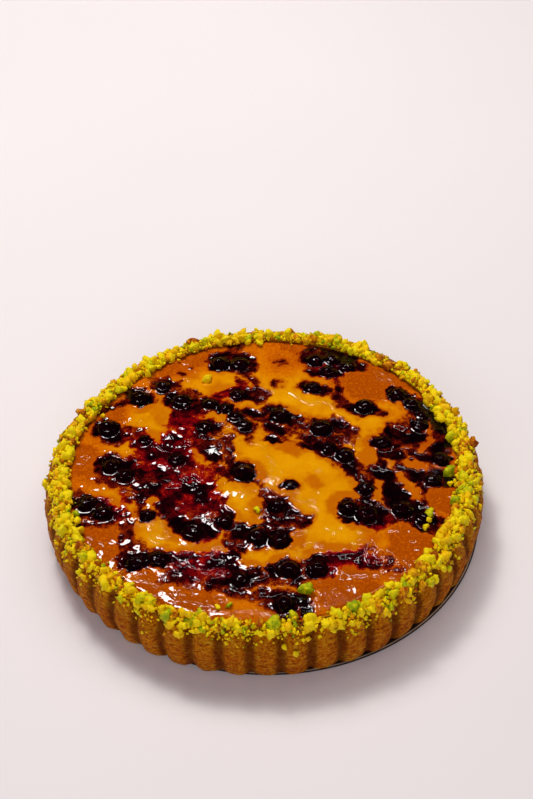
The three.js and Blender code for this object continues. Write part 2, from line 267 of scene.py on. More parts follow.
def smooth_step(value, low, high):
    t = np.clip((value - low) / (high - low), 0, 1)
    return t * t * (3 - 2 * t)


def cloud(x, y, size, seed):
    """Soft noise from -1 to 1 with lumps about size across; the same seed gives the same noise."""
    cells = 64
    lattice = np.random.default_rng(seed).uniform(-1, 1, (cells, cells))
    u, v = x / size + cells / 2, y / size + cells / 2
    i, j = np.floor(u).astype(int), np.floor(v).astype(int)
    fu, fv = u - i, v - j
    fu, fv = fu ** 3 * (fu * (6 * fu - 15) + 10), fv ** 3 * (fv * (6 * fv - 15) + 10)
    i0, j0, i1, j1 = i % cells, j % cells, (i + 1) % cells, (j + 1) % cells
    near = lattice[i0, j0] * (1 - fu) + lattice[i1, j0] * fu
    far = lattice[i0, j1] * (1 - fu) + lattice[i1, j1] * fu
    return near * (1 - fv) + far * fv


def layered_cloud(x, y, size, seed, layers=3):
    total, weight = 0, 0
    for k in range(layers):
        share = 0.5 ** k
        total = total + share * cloud(x + 13 * k, y - 7 * k, size * share, seed + k)
        weight += share
    return total / weight


def stroke_distance(x, y, x1, y1, x2, y2, bow):
    """Distance of each point from a stroke that bows sideways between its two ends."""
    steps = np.linspace(0, 1, 9 if bow else 2)
    along = np.array((x2 - x1, y2 - y1), float)
    length = max(np.hypot(*along), 1e-6)
    side = np.array((-along[1], along[0])) / length
    lift = 4 * bow * steps * (1 - steps)
    px, py = x1 + along[0] * steps + side[0] * lift, y1 + along[1] * steps + side[1] * lift
    best = np.full(x.shape, 1e9)
    for k in range(len(steps) - 1):
        dx, dy = px[k + 1] - px[k], py[k + 1] - py[k]
        t = np.clip(((x - px[k]) * dx + (y - py[k]) * dy) / max(dx * dx + dy * dy, 1e-9), 0, 1)
        best = np.minimum(best, np.hypot(x - px[k] - t * dx, y - py[k] - t * dy))
    return best


def flat_spot(angle):
    away = np.abs((angle - FLAT_SPOT_AT + math.pi) % (2 * math.pi) - math.pi)
    return np.where(away < FLAT_SPOT_SPREAD, FLAT_SPOT * np.cos(away / FLAT_SPOT_SPREAD * math.pi / 2) ** 2, 0)


def crest_radius(height):
    """The flutes' crests from foot to rim, in millimetres."""
    down = np.clip((WIDEST_HEIGHT - height) / (WIDEST_HEIGHT - FOOT), 0, 1)
    up = np.clip((height - WIDEST_HEIGHT) / (RIM - WIDEST_HEIGHT), 0, 1)
    return WIDEST - (WIDEST - FOOT_RADIUS) * down ** 1.6 - (WIDEST - RIM_RADIUS) * up ** 2.2


def flute_valley(angle):
    """0 on a flute's crest and 1 in the valley between two."""
    part = (angle - FLUTE_TURN) * FLUTES / (2 * math.pi)
    return np.abs(2 * (part - np.round(part))) ** FLUTE_SHARPNESS


def new_object(name, points, faces, attributes=None, smooth=True):
    """Makes a mesh object from points in metres, with a float attribute for each entry of attributes."""
    mesh = bpy.data.meshes.new(name)
    mesh.from_pydata(np.asarray(points).tolist(), [], faces)
    for key, values in (attributes or {}).items():
        layer = mesh.attributes.new(key, "FLOAT", "POINT")
        layer.data.foreach_set("value", np.asarray(values, np.float32))
    mesh.polygons.foreach_set("use_smooth", [smooth] * len(mesh.polygons))
    mesh.update()
    piece = bpy.data.objects.new(name, mesh)
    bpy.context.scene.collection.objects.link(piece)
    return piece


def ring_faces(rings, steps, closed=False):
    """Faces between rings of points that follow one another; closed: the last ring meets the first."""
    faces = []
    for ring in range(rings if closed else rings - 1):
        low, high = ring * steps, (ring + 1) % rings * steps
        for i in range(steps):
            nxt = (i + 1) % steps
            faces.append((low + i, high + i, high + nxt, low + nxt))
    return faces


def turn_section(section, steps):
    """Points and faces of a closed body turned from (radius, height) pairs that start and end on the axis."""
    angles = np.arange(steps) * 2 * math.pi / steps
    inner = section[1:-1]
    points = [(0, 0, section[0][1])]
    for radius, height in inner:
        points += [(radius * math.cos(a), radius * math.sin(a), height) for a in angles]
    points.append((0, 0, section[-1][1]))
    faces = []
    for i in range(steps):
        nxt = (i + 1) % steps
        faces.append((0, 1 + nxt, 1 + i))
        for level in range(len(inner) - 1):
            low, high = 1 + level * steps, 1 + (level + 1) * steps
            faces.append((low + i, low + nxt, high + nxt, high + i))
        last = 1 + (len(inner) - 1) * steps
        faces.append((last + i, last + nxt, len(points) - 1))
    return np.array(points), faces


class Tree:
    """Adds nodes to a shader or geometry tree and joins their sockets."""

    def __init__(self, tree):
        self.tree = tree

    def add(self, kind, inputs=None, **settings):
        node = self.tree.nodes.new(kind)
        for key, value in settings.items():
            setattr(node, key, value)
        for key, value in (inputs or {}).items():
            self.feed(node.inputs[key], value)
        return node

    def feed(self, socket, value):
        if isinstance(value, bpy.types.NodeSocket):
            self.tree.links.new(value, socket)
        else:
            socket.default_value = value

    def maths(self, operation, *values):
        node = self.add("ShaderNodeMath", operation=operation)
        for socket, value in zip(node.inputs, values):
            self.feed(socket, value)
        return node.outputs[0]

    def vector_maths(self, operation, *values):
        node = self.add("ShaderNodeVectorMath", operation=operation)
        for socket, value in zip(node.inputs, values):
            self.feed(socket, value)
        return node.outputs[0]

    def scaled(self, vector, factor):
        node = self.add("ShaderNodeVectorMath", {0: vector}, operation="SCALE")
        self.feed(node.inputs["Scale"], factor)
        return node.outputs[0]

    def noise(self, place, scale, detail=3, roughness=0.5, distortion=0):
        return self.add("ShaderNodeTexNoise", {
            "Vector": place, "Scale": scale, "Detail": detail, "Roughness": roughness, "Distortion": distortion,
        }).outputs["Fac"]

    def spread(self, value, low, high, to_low=0, to_high=1):
        return self.add("ShaderNodeMapRange", {
            "Value": value, "From Min": low, "From Max": high, "To Min": to_low, "To Max": to_high,
        }, interpolation_type="SMOOTHSTEP").outputs["Result"]


# ---- Finishes -----------------------------------------------------------------------------------


def linear(red, green, blue):
    """A screen colour, 0 to 255, as the linear colour that shaders take."""
    def channel(c):
        c /= 255
        return c / 12.92 if c <= 0.04045 else ((c + 0.055) / 1.055) ** 2.4
    return (channel(red), channel(green), channel(blue), 1)


class Finish(Tree):
    """A Principled material with helpers for colour and relief."""

    def __init__(self, name):
        self.material = bpy.data.materials.new(name)
        self.material.use_nodes = True
        super().__init__(self.material.node_tree)
        self.tree.nodes.clear()
        self.shader = self.add("ShaderNodeBsdfPrincipled")
        self.add("ShaderNodeOutputMaterial", {"Surface": self.shader.outputs[0]})
        self.place = self.add("ShaderNodeTexCoord").outputs["Object"]

    def set(self, **sockets):
        for key, value in sockets.items():
            self.feed(self.shader.inputs[key.replace("_", " ")], value)

    def attribute(self, name):
        return self.add("ShaderNodeAttribute", attribute_name=name).outputs["Fac"]

    def stretched(self, x, y, z):
        return self.add("ShaderNodeMapping", {"Vector": self.place, "Scale": (x, y, z)}).outputs[0]

    def blend(self, share, first, second):
        node = self.add("ShaderNodeMix", data_type="RGBA")
        self.feed(node.inputs["Factor"], share)
        self.feed(node.inputs[6], first)
        self.feed(node.inputs[7], second)
        return node.outputs[2]

    def ramp(self, share, *stops):
        node = self.add("ShaderNodeValToRGB", {"Fac": share})
        band = node.color_ramp.elements
        while len(band) < len(stops):
            band.new(0.5)
        for element, (position, colour) in zip(band, stops):
            element.position = position
            element.color = colour
        return node.outputs["Color"]

    def relief(self, height, depth, strength=1.0, onto=None):
        bump = self.add("ShaderNodeBump", {"Height": height, "Distance": depth, "Strength": strength})
        if onto is not None:
            self.feed(bump.inputs["Normal"], onto)
        return bump.outputs[0]


def crust_finish():
    f = Finish("baked_shortcrust")
    valley = f.attribute("valley")
    x, y, height = f.add("ShaderNodeSeparateXYZ", {"Vector": f.place}).outputs
    grain = f.noise(f.place, 620, 5, 0.75)
    flakes = f.noise(f.stretched(1, 1, 2.6), 260, 5, 0.7, 0.6)
    patches = f.noise(f.place, 60, 3, 0.6)
    shade = f.maths("ADD", f.maths("MULTIPLY", grain, 0.5), f.maths("MULTIPLY", flakes, 0.5))
    colour = f.ramp(
        shade, (0.36, linear(110, 38, 0)), (0.45, linear(198, 88, 0)),
        (0.53, linear(246, 142, 2)), (0.62, linear(255, 206, 60)),
    )
    colour = f.blend(f.spread(patches, 0.42, 0.66, 0, 0.4), colour, linear(190, 82, 0))
    dusted = f.maths("MULTIPLY", f.spread(height, 0.018, 0.029), f.spread(grain, 0.4, 0.6))
    colour = f.blend(f.maths("MULTIPLY", dusted, 0.5), colour, linear(240, 170, 4))
    pale = f.maths("MULTIPLY", f.spread(height, 0.008, 0.002), f.spread(flakes, 0.45, 0.6))
    colour = f.blend(f.maths("MULTIPLY", pale, 0.6), colour, linear(240, 170, 30))
    # The flute valleys are darkened: partly a deeper bake, partly painted shade in the hollows.
    colour = f.blend(f.spread(valley, 0.12, 0.7, 0, 0.7), colour, linear(92, 30, 0))
    f.set(Base_Color=colour, Roughness=f.spread(grain, 0.3, 0.7, 0.5, 0.8))
    f.set(Normal=f.relief(f.maths("ADD", grain, f.maths("MULTIPLY", flakes, 1.4)), 0.0026))
    f.shader.inputs["Specular IOR Level"].default_value = 0.08
    f.shader.inputs["Subsurface Weight"].default_value = 0.06
    f.shader.inputs["Subsurface Radius"].default_value = (0.002, 0.001, 0.0004)
    return f.material


def filling_finish():
    f = Finish("glazed_almond_filling")
    amount = f.attribute("compote")
    bleed = f.attribute("bleed")
    toast = f.attribute("toast")
    ripple = f.attribute("ripple")
    marble = f.noise(f.place, 260, 6, 0.62, 0.8)
    fine = f.noise(f.place, 1200, 4, 0.65)
    crumb = f.noise(f.place, 1500, 3, 0.6)
    speckle = f.noise(f.place, 620, 5, 0.75)
    blotch = f.noise(f.place, 75, 4, 0.6)

    unsure = f.maths("MULTIPLY", amount, f.maths("SUBTRACT", 1.15, amount))
    swirl = f.maths("MULTIPLY", f.maths("SUBTRACT", marble, 0.5), 4.0)
    grit = f.maths("MULTIPLY", f.maths("SUBTRACT", fine, 0.5), 4.0)
    stain = f.maths("ADD", amount, f.maths("MULTIPLY", f.maths("ADD", swirl, grit), unsure))

    golden = f.ramp(
        f.maths("ADD", f.maths("MULTIPLY", blotch, 0.6), f.maths("MULTIPLY", crumb, 0.4)),
        (0.3, linear(208, 122, 1)), (0.5, linear(226, 146, 2)), (0.7, linear(238, 166, 8)),
    )
    baked = f.maths("ADD", toast, f.maths("MULTIPLY", f.maths("SUBTRACT", speckle, 0.5), 2.4))
    browned = f.ramp(
        f.maths("MULTIPLY", baked, f.maths("POWER", toast, 0.5)),
        (0.08, linear(222, 136, 2)), (0.35, linear(214, 116, 1)), (0.7, linear(204, 99, 2)), (1.0, linear(168, 70, 2)),
    )
    batter = f.blend(f.spread(toast, 0.0, 0.7), golden, browned)
    seep = f.maths("ADD", bleed, f.maths("MULTIPLY", f.maths("SUBTRACT", marble, 0.5), 0.5))
    batter = f.blend(f.spread(seep, 0.15, 1.1, 0, 0.8), batter, linear(186, 82, 2))
    dark = f.ramp(
        stain, (0.14, linear(186, 88, 2)), (0.28, linear(148, 48, 3)), (0.45, linear(100, 16, 5)),
        (0.62, linear(62, 6, 5)), (0.80, linear(32, 2, 5)), (0.97, linear(8, 1, 3)),
    )
    red = f.ramp(
        stain, (0.14, linear(198, 84, 4)), (0.28, linear(178, 36, 6)), (0.46, linear(142, 4, 12)),
        (0.66, linear(98, 1, 9)), (0.84, linear(52, 1, 7)), (1.0, linear(12, 1, 4)),
    )
    juice = f.blend(f.attribute("crimson"), dark, red)
    colour = f.blend(f.spread(stain, 0.08, 0.28), batter, juice)
    f.set(Base_Color=colour, Roughness=f.spread(stain, 0.3, 0.6, 0.5, 0.35))
    f.set(Normal=f.relief(f.maths("ADD", crumb, speckle), 0.00025, 0.7))

    # The glaze is nearly level. Its set runs stand up as low ridges and its ripples as fine wrinkles.
    glaze = f.relief(f.noise(f.place, 150, 2, 0.4, 0.4), 0.0009, 0.35)
    breaks = f.spread(f.noise(f.place, 170, 2, 0.5), 0.54, 0.62, 0, 0.7)
    off = f.maths("MAXIMUM", f.maths("ABSOLUTE", f.attribute("glaze_run_side")),
                  f.maths("SUBTRACT", f.attribute("glaze_run"), 0.5))
    off = f.maths("ADD", off, breaks)
    ridge = f.maths("EXPONENT", f.maths("MULTIPLY", f.maths("MULTIPLY", off, off), -1.6))
    glaze = f.relief(ridge, 0.00042, 1.0, onto=glaze)
    wrinkle = f.maths("MULTIPLY", f.noise(f.place, 380, 0, 0.4, 0.6), ripple)
    f.set(Coat_Normal=f.relief(wrinkle, 0.001, 1.0, onto=glaze))
    f.shader.inputs["Coat Weight"].default_value = 1.0
    f.shader.inputs["Coat Roughness"].default_value = 0.03
    f.shader.inputs["Coat IOR"].default_value = 1.45
    f.shader.inputs["Specular IOR Level"].default_value = 0.0
    return f.material


def berry_finish():
    f = Finish("glazed_berry_skin")
    skin = f.noise(f.place, 420, 4, 0.6)
    colour = f.ramp(
        skin, (0.3, linear(6, 1, 3)), (0.55, linear(16, 1, 5)), (0.75, linear(56, 3, 9)),
    )
    f.set(Base_Color=colour, Roughness=f.spread(skin, 0.3, 0.7, 0.35, 0.5))
    f.set(Normal=f.relief(skin, 0.0006, 0.5))
    f.set(Coat_Normal=f.relief(f.noise(f.place, 260, 2, 0.5, 0.5), 0.0010, 0.45))
    f.shader.inputs["Coat Weight"].default_value = 1.0
    f.shader.inputs["Coat Roughness"].default_value = 0.04
    f.shader.inputs["Specular IOR Level"].default_value = 0.0
    return f.material


def pistachio_finish():
    f = Finish("chopped_pistachio")
    tint = f.attribute("tint")
    streak = f.noise(f.place, 420, 4, 0.6)
    wander = f.maths("ADD", tint, f.maths("MULTIPLY", f.maths("SUBTRACT", streak, 0.5), 0.5))
    colour = f.ramp(
        wander, (0.0, linear(160, 72, 1)), (0.06, linear(216, 132, 1)), (0.16, linear(250, 194, 3)),
        (0.5, linear(255, 222, 8)), (0.76, linear(255, 224, 6)), (0.9, linear(220, 208, 6)),
        (1.0, linear(150, 168, 6)),
    )
    f.set(Base_Color=colour, Roughness=0.5)
    crumb = f.maths("ADD", f.noise(f.place, 480, 3, 0.6), f.maths("MULTIPLY", f.noise(f.place, 1200, 3, 0.65), 0.6))
    f.set(Normal=f.relief(crumb, 0.0011, 0.8))
    f.shader.inputs["Specular IOR Level"].default_value = 0.2
    f.shader.inputs["Subsurface Weight"].default_value = 0.12
    f.shader.inputs["Subsurface Radius"].default_value = (0.0012, 0.001, 0.0002)
    return f.material


def nut_dust_and_gap_shade_finish():
    f = Finish("nut_dust_and_painted_gap_shade")
    grit = f.noise(f.place, 620, 5, 0.7)
    patches = f.noise(f.place, 110, 3, 0.6)
    mix = f.maths("ADD", f.maths("MULTIPLY", grit, 0.6), f.maths("MULTIPLY", patches, 0.4))
    # Nut dust; its darkest browns are partly painted shade in the gaps between the chips.
    colour = f.ramp(
        mix, (0.38, linear(104, 42, 0)), (0.47, linear(168, 88, 1)), (0.54, linear(210, 140, 2)),
        (0.64, linear(240, 190, 4)),
    )
    f.set(Base_Color=colour, Roughness=0.75)
    f.set(Normal=f.relief(grit, 0.0014, 0.9))
    return f.material


def tin_finish():
    f = Finish("tin_base_with_painted_rim_highlight")
    to_edge = f.attribute("to_edge")
    rings = f.noise(f.add("ShaderNodeCombineXYZ", {"X": to_edge}).outputs[0], 2.6, 3, 0.6)
    smear = f.noise(f.place, 90, 4, 0.6)
    colour = f.ramp(smear, (0.35, linear(30, 22, 16)), (0.6, linear(58, 46, 36)), (0.8, linear(40, 28, 18)))
    # A pale ring just inside the disc's edge is a painted highlight on its rim.
    painted_rim_highlight = f.maths("MULTIPLY", f.spread(to_edge, 0.5, 0.75), f.spread(to_edge, 1.5, 1.15))
    colour = f.blend(f.maths("MULTIPLY", painted_rim_highlight, f.spread(smear, 0.3, 0.6, 0.6, 1)), colour, linear(226, 200, 168))
    f.set(Base_Color=colour, Roughness=f.spread(smear, 0.3, 0.7, 0.35, 0.55))
    f.set(Normal=f.relief(rings, 0.0001, 0.4))
    f.shader.inputs["Metallic"].default_value = 0.3
    return f.material


def floor_finish():
    f = Finish("pale_table")
    f.set(Base_Color=f.ramp(f.noise(f.place, 3, 2), (0.3, linear(236, 229, 226)), (0.7, linear(239, 232, 229))))
    f.set(Roughness=0.55)
    return f.material


# ---- Scattering ---------------------------------------------------------------------------------


def scatter_tree():
    """Spreads chips over a bed: where the bed's attribute cover says, sized by its attribute bit_size."""
    tree = bpy.data.node_groups.new("scatter_chips", "GeometryNodeTree")
    for name, kind, value in (
        ("Bed", "NodeSocketGeometry", None), ("Chips", "NodeSocketCollection", None),
        ("Finish", "NodeSocketMaterial", None), ("Spacing", "NodeSocketFloat", 0.002),
        ("Most per square metre", "NodeSocketFloat", 1e5), ("Smallest", "NodeSocketFloat", 0.001),
        ("Largest", "NodeSocketFloat", 0.005), ("Small ones favoured", "NodeSocketFloat", 2.0),
        ("Lift", "NodeSocketFloat", 0.0), ("Seed", "NodeSocketInt", 0),
    ):
        socket = tree.interface.new_socket(name=name, in_out="INPUT", socket_type=kind)
        if value is not None:
            socket.default_value = value
    tree.interface.new_socket(name="Scattered", in_out="OUTPUT", socket_type="NodeSocketGeometry")
    t = Tree(tree)
    given = t.add("NodeGroupInput").outputs

    def attribute(name):
        return t.add("GeometryNodeInputNamedAttribute", {"Name": name}, data_type="FLOAT").outputs["Attribute"]

    def random(low, high, shift):
        node = t.add("FunctionNodeRandomValue", data_type="FLOAT")
        t.feed(node.inputs[2], low)
        t.feed(node.inputs[3], high)
        t.feed(node.inputs["Seed"], t.maths("ADD", given["Seed"], shift))
        return node.outputs[1]

    points = t.add("GeometryNodeDistributePointsOnFaces", {
        "Mesh": given["Bed"], "Distance Min": given["Spacing"], "Density Max": given["Most per square metre"],
        "Density Factor": attribute("cover"), "Seed": given["Seed"],
    }, distribute_method="POISSON")
    turn = t.add("ShaderNodeCombineXYZ", {
        "X": random(0, 2 * math.pi, 1), "Y": random(0, 2 * math.pi, 2), "Z": random(0, 2 * math.pi, 3),
    }).outputs[0]
    share = t.maths("POWER", random(0, 1, 4), given["Small ones favoured"])
    span = t.maths("SUBTRACT", given["Largest"], given["Smallest"])
    size = t.maths("MULTIPLY", t.maths("MULTIPLY_ADD", share, span, given["Smallest"]), attribute("bit_size"))
    kept = t.add("GeometryNodeStoreNamedAttribute", {
        "Geometry": points.outputs["Points"], "Name": "chip_size", "Value": size,
    }, data_type="FLOAT", domain="POINT")
    lift = t.maths("MULTIPLY", attribute("chip_size"), given["Lift"])
    raised = t.add("GeometryNodeSetPosition", {
        "Geometry": kept.outputs[0], "Offset": t.scaled(points.outputs["Normal"], lift),
    })
    chips = t.add("GeometryNodeCollectionInfo", {
        "Collection": given["Chips"], "Separate Children": True, "Reset Children": True,
    })
    placed = t.add("GeometryNodeInstanceOnPoints", {
        "Points": raised.outputs[0], "Instance": chips.outputs[0], "Pick Instance": True,
        "Rotation": turn, "Scale": attribute("chip_size"),
    })
    tinted = t.add("GeometryNodeStoreNamedAttribute", {
        "Geometry": placed.outputs[0], "Name": "tint", "Value": random(0, 1, 5),
    }, data_type="FLOAT", domain="INSTANCE")
    real = t.add("GeometryNodeRealizeInstances", {"Geometry": tinted.outputs[0]})
    finished = t.add("GeometryNodeSetMaterial", {"Geometry": real.outputs[0], "Material": given["Finish"]})
    t.add("NodeGroupOutput", {"Scattered": finished.outputs[0]})
    return tree


def run_tree(name, base, tree, inputs):
    """Runs a geometry tree on an object and returns its result as a plain object; the base object goes."""
    modifier = base.modifiers.new(tree.name, "NODES")
    modifier.node_group = tree
    for item in tree.interface.items_tree:
        if item.in_out == "INPUT" and item.name in inputs:
            modifier[item.identifier] = inputs[item.name]
    bpy.context.view_layer.update()
    evaluated = base.evaluated_get(bpy.context.evaluated_depsgraph_get())
    mesh = bpy.data.meshes.new_from_object(evaluated)
    mesh.name = name
    base.modifiers.remove(modifier)
    bpy.data.objects.remove(base)
    piece = bpy.data.objects.new(name, mesh)
    bpy.context.scene.collection.objects.link(piece)
    return piece


def craggy_chip(rng, fineness, squash, cragginess):
    """One broken bit of nut about 1 long, as a bmesh, its faces shaded flat when fineness is 1 or less."""
    form = bmesh.new()
    bmesh.ops.create_icosphere(form, subdivisions=fineness, radius=0.5)
    stretch = np.array((1, rng.uniform(*squash), rng.uniform(*squash)))
    lumps = [(rng.normal(size=3) * wave, rng.uniform(0, 6), wave) for wave in (3, 3, 6, 6, 9)]
    for vertex in form.verts:
        way = np.array(vertex.co) * 2
        swell = sum(math.sin(float(way @ aim) + start) / wave for aim, start, wave in lumps)
        vertex.co = way / 2 * stretch * (1 + cragginess * (swell + rng.uniform(-0.2, 0.2)))
    for face in form.faces:
        face.smooth = fineness > 1
    return form


def chip_collection(name, count, fineness, squash, cragginess, seed):
    """A few different chips as a collection that a scatter tree picks from."""
    rng = np.random.default_rng(seed)
    shelf = bpy.data.collections.new(name)
    for k in range(count):
        form = craggy_chip(rng, fineness, squash, cragginess)
        mesh = bpy.data.meshes.new(f"{name}_{k}")
        form.to_mesh(mesh)
        form.free()
        shelf.objects.link(bpy.data.objects.new(f"{name}_{k}", mesh))
    return shelf


# ---- Pieces -------------------------------------------------------------------------------------


def seat(piece, slot, *nodes, finish=None):
    """Gives a finished piece its material and its body, and hides the solids that it stands for; slot is not used."""
    if finish is not None:
        piece.data.materials.clear()
        piece.data.materials.append(finish)
    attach(piece, "root")
    if nodes:
        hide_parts(*nodes)
    return piece


def flute_tree():
    """Pushes the wall of a turned case into flutes and roughens it, where its attribute fluted says."""
    tree = bpy.data.node_groups.new("press_flutes", "GeometryNodeTree")
    for name, kind in (
        ("Case", "NodeSocketGeometry"), ("Flutes", "NodeSocketFloat"), ("Flute depth", "NodeSocketFloat"),
        ("Sharpness", "NodeSocketFloat"), ("Turn", "NodeSocketFloat"), ("Roughness depth", "NodeSocketFloat"),
        ("Finish", "NodeSocketMaterial"),
    ):
        tree.interface.new_socket(name=name, in_out="INPUT", socket_type=kind)
    tree.interface.new_socket(name="Fluted case", in_out="OUTPUT", socket_type="NodeSocketGeometry")
    t = Tree(tree)
    given = t.add("NodeGroupInput").outputs
    place = t.add("GeometryNodeInputPosition").outputs[0]
    x, y, z = t.add("ShaderNodeSeparateXYZ", {"Vector": place}).outputs
    angle = t.maths("SUBTRACT", t.maths("ARCTAN2", y, x), given["Turn"])
    part = t.maths("DIVIDE", t.maths("MULTIPLY", angle, given["Flutes"]), 2 * math.pi)
    off = t.maths("ABSOLUTE", t.maths("SUBTRACT", part, t.maths("ROUND", part)))
    valley = t.maths("POWER", t.maths("MULTIPLY", off, 2), given["Sharpness"])
    fluted = t.add("GeometryNodeInputNamedAttribute", {"Name": "fluted"}, data_type="FLOAT").outputs["Attribute"]
    press = t.maths("MULTIPLY", valley, given["Flute depth"])
    layers = t.vector_maths("MULTIPLY", place, (1, 1, 2.6))
    lumps = t.maths("SUBTRACT", t.noise(place, 90, 2, 0.5), 0.5)
    flakes = t.maths("SUBTRACT", t.noise(layers, 330, 4, 0.6), 0.5)
    rough = t.maths("ADD", t.maths("MULTIPLY", lumps, 1.6), flakes)
    push = t.maths("ADD", press, t.maths("MULTIPLY", rough, given["Roughness depth"]))
    outward = t.vector_maths("NORMALIZE", t.add("ShaderNodeCombineXYZ", {"X": x, "Y": y}).outputs[0])
    move = t.scaled(outward, t.maths("MULTIPLY", t.maths("MULTIPLY", push, fluted), -1))
    marked = t.add("GeometryNodeStoreNamedAttribute", {
        "Geometry": given["Case"], "Name": "valley", "Value": t.maths("MULTIPLY", valley, fluted),
    }, data_type="FLOAT", domain="POINT")
    moved = t.add("GeometryNodeSetPosition", {"Geometry": marked.outputs[0], "Offset": move})
    real = t.add("GeometryNodeRealizeInstances", {"Geometry": moved.outputs[0]})
    finished = t.add("GeometryNodeSetMaterial", {"Geometry": real.outputs[0], "Material": given["Finish"]})
    t.add("NodeGroupOutput", {"Fluted case": finished.outputs[0]})
    return tree


def crust_section():
    """(radius, height, share of the flutes) round the case's section, from axis to axis."""
    section = [(0, FOOT, 0), (60, FOOT, 0), (104, FOOT, 0.2), (FOOT_RADIUS - 1.6, FOOT, 0.9)]
    for height in np.linspace(FOOT + 0.7, RIM - 1.6, 30):
        section.append((float(crest_radius(height)), float(height), 1))
    for turn in np.radians((25, 50, 75, 90)):
        section.append((RIM_RADIUS - 1.8 + 1.8 * math.cos(turn), RIM - 1.6 + 1.6 * math.sin(turn), 1))
    section += [(117, RIM, 0.5), (114.5, RIM, 0.1), (POCKET_RADIUS + 0.6, RIM, 0), (POCKET_RADIUS, RIM - 0.6, 0)]
    section += [(POCKET_FLOOR_RADIUS, POCKET_FLOOR, 0), (60, POCKET_FLOOR, 0), (0, POCKET_FLOOR, 0)]
    return section


def make_crust():
    steps = FLUTES * 16
    section = crust_section()
    points, faces = turn_section([(r, z) for r, z, _ in section], steps)
    angle = np.arctan2(points[:, 1], points[:, 0])
    radius = np.hypot(points[:, 0], points[:, 1])
    pushed = radius - flat_spot(angle) * smooth_step(radius, 20, 100)
    points[:, 0], points[:, 1] = pushed * np.cos(angle), pushed * np.sin(angle)
    fluted = np.concatenate(([0], np.repeat([share for _, _, share in section[1:-1]], steps), [0]))
    base = new_object("crust_blank", points * MM, faces, {"fluted": fluted})
    piece = run_tree("shortcrust_case", base, flute_tree(), {
        "Flutes": float(FLUTES), "Flute depth": FLUTE_DEPTH * MM, "Sharpness": FLUTE_SHARPNESS, "Turn": FLUTE_TURN,
        "Roughness depth": 1.7 * MM, "Finish": crust_finish(),
    })
    return seat(piece, "crust", "crust")


def berry_list():
    """(x, y, z, width, height) of each solid berry, in millimetres, with its node's name."""
    berries = []
    for name in sorted(frame["nodes"]):
        if name.startswith("berry_"):
            low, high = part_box(name)
            middle = (low + high) / 2 / MM
            berries.append((name, middle.x, middle.y, middle.z, (high.x - low.x) / MM, (high.z - low.z) / MM))
    return berries


BERRIES = berry_list()


def compote_amount(x, y):
    """How much compote lies at each point, 0.6 for a red film and 1 for a dark pool, and how far juice bled out."""
    wx = x + 2.6 * layered_cloud(x, y, 9, SEED) + 1.6 * cloud(x, y, 2.8, SEED + 5)
    wy = y + 2.6 * layered_cloud(x, y, 9, SEED + 20) + 1.6 * cloud(x, y, 2.8, SEED + 25)
    amount, bleed = np.zeros(x.shape), np.zeros(x.shape)
    soft = 3.2 + 2.2 * cloud(x, y, 14, SEED + 33)
    for x1, y1, x2, y2, width, bow, strength in STREAKS:
        gap = stroke_distance(wx, wy, x1, y1, x2, y2, bow) - width / 2
        amount = np.maximum(amount, strength * smooth_step(-gap / soft, -1.0, 0.8))
        bleed = np.maximum(bleed, strength * smooth_step(-gap, -7, 0))
    for x1, y1, x2, y2, width, bow in ISLANDS:
        gap = stroke_distance(wx, wy, x1, y1, x2, y2, bow) - width / 2
        amount *= 1 - smooth_step(-gap, -1.8, 1.6)
    windows = 0.5 + 0.5 * layered_cloud(x, y, 7, SEED + 30, 4)
    amount *= 1 - 0.5 * smooth_step(windows, 0.38, 0.8)
    for _, bx, by, _, width, _ in BERRIES:
        gap = np.hypot(wx - bx, wy - by) - width / 2
        amount = np.maximum(amount, smooth_step(-gap, -2.8, 0.2))
        amount = np.maximum(amount, 1.0 * (np.hypot(x - bx, y - by) < width / 2 + 0.6))
        bleed = np.maximum(bleed, smooth_step(-gap, -7, 0))
    return amount, bleed


def rounded(path, steps=5):
    """More points along a path, on a curve that bends softly through the given ones."""
    p = np.array(path, float)
    p = np.concatenate(([2 * p[0] - p[1]], p, [2 * p[-1] - p[-2]]))
    curve = [p[1]]
    for k in range(1, len(p) - 2):
        for t in np.arange(1, steps + 1) / steps:
            curve.append(0.5 * (2 * p[k] + (p[k + 1] - p[k - 1]) * t
                                + (2 * p[k - 1] - 5 * p[k] + 4 * p[k + 1] - p[k + 2]) * t ** 2
                                + (3 * p[k] - p[k - 1] - 3 * p[k + 1] + p[k + 2]) * t ** 3))
    return curve


def glaze_runs(x, y):
    """Distance to the nearest thick run of glaze, and again with a sign that tells the two sides of the run."""
    wx, wy = x + 0.7 * cloud(x, y, 3.2, SEED + 50), y + 0.7 * cloud(x, y, 3.2, SEED + 51)
    nearest, sided = np.full(x.shape, 9.0), np.full(x.shape, 9.0)
    for half_width, *path in GLAZE_RUNS:
        curve = rounded(path)
        low, high = np.min(curve, 0) - 9, np.max(curve, 0) + 9
        inside = (x > low[0]) & (x < high[0]) & (y > low[1]) & (y < high[1])
        here, signed, px, py = nearest[inside], sided[inside], wx[inside], wy[inside]
        for (x1, y1), (x2, y2) in zip(curve, curve[1:]):
            side = np.where((px - x1) * (y2 - y1) > (py - y1) * (x2 - x1), 1, -1)
            gap = np.maximum(stroke_distance(px, py, x1, y1, x2, y2, 0) - 0.55 * half_width, 0)
            signed = np.where(gap < here, gap * side, signed)
            here = np.minimum(here, gap)
        nearest[inside], sided[inside] = here, signed
    return nearest, sided


def patch_mask(x, y, patches, soft=0.5):
    """1 inside the patches, with a ragged edge."""
    ragged = 1 + soft * layered_cloud(x, y, 8, SEED + 40)
    mask = np.zeros(x.shape)
    for px, py, spread, *rest in patches:
        strength = rest[0] if rest else 1
        near = np.hypot(x - px, y - py) / (spread * ragged)
        mask = np.maximum(mask, strength * (1 - smooth_step(near, 0.15, 1)))
    return mask


